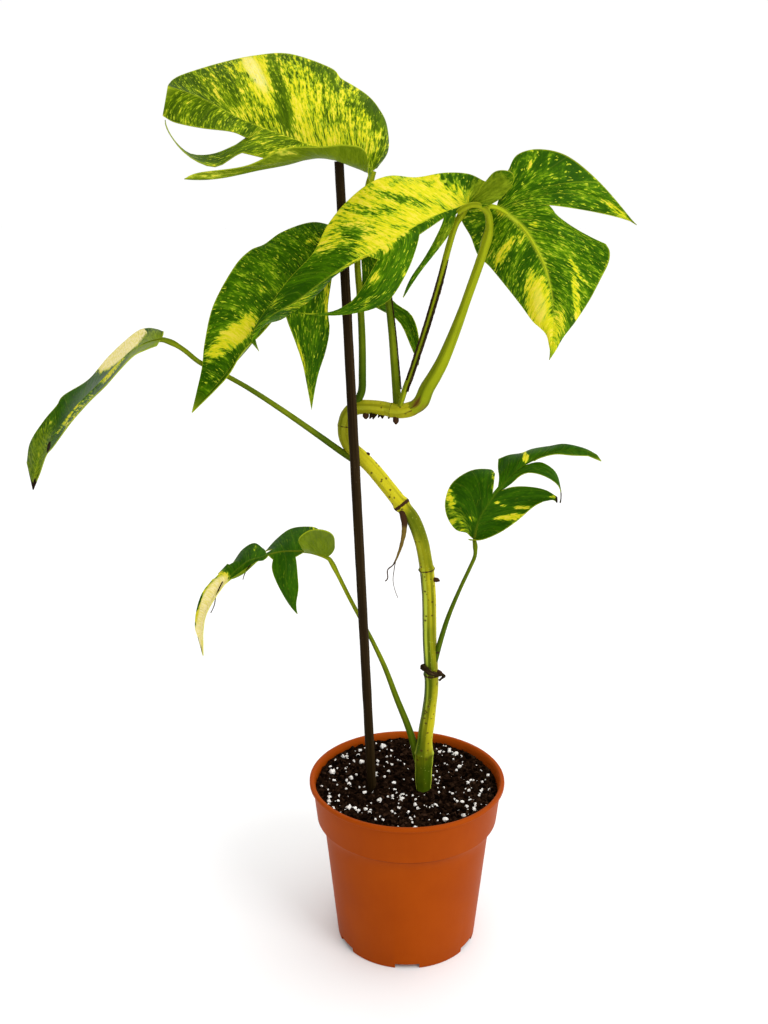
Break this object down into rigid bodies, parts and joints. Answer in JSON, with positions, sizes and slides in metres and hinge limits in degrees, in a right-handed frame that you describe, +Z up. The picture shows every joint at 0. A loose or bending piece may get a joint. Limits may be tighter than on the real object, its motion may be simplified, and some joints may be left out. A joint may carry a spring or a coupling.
{
  "type": "potted pothos plant",
  "caption": "Climbing pothos with split, yellow-streaked leaves on a leaning stem and thin stake, growing in a rimmed plastic nursery pot filled with soil.",
  "frame": {"origin": "middle of the pot's base, on the surface that it stands on", "axes": "+Z up along the pot's axis, -Y towards the plant's front, +X to the right seen from the front"},
  "size_m": [0.3615, 0.13, 0.5704],
  "materials": {
    "pot": "satin",
    "soil": "matte",
    "stake": "satin",
    "stem": "satin",
    "petiole": "satin",
    "leaf": "satin",
    "aerial_root": "matte",
    "dry_sheath": "matte",
    "perlite": "matte"
  },
  "bodies": {
    "root": {"pot": "pot", "soil": "soil", "stake": "stake", "stem": "stem", "petiole_top": "petiole", "petiole_dark": "petiole", "petiole_streaked": "petiole", "petiole_right": "petiole", "petiole_far": "petiole", "petiole_low_left": "petiole", "petiole_low_right": "petiole", "leaf_top": "leaf", "leaf_streaked": "leaf", "leaf_right": "leaf", "leaf_dark": "leaf", "leaf_far": "leaf", "leaf_low_left": "leaf", "leaf_low_right": "leaf", "root_nub_elbow": "aerial_root", "root_nub_bend": "aerial_root", "root_nub_crook": "aerial_root", "root_nub_middle": "aerial_root", "root_nub_low": "aerial_root", "aerial_root_long": "aerial_root", "aerial_root_hair": "aerial_root", "sheath_strand_dark": "dry_sheath", "sheath_strand_left": "dry_sheath", "sheath_strand_right": "dry_sheath", "perlite_01": "perlite", "perlite_02": "perlite", "perlite_03": "perlite", "perlite_04": "perlite", "perlite_05": "perlite", "perlite_06": "perlite", "perlite_07": "perlite", "perlite_08": "perlite", "perlite_09": "perlite", "perlite_10": "perlite", "perlite_11": "perlite", "perlite_12": "perlite"}
  },
  "joints": []
}
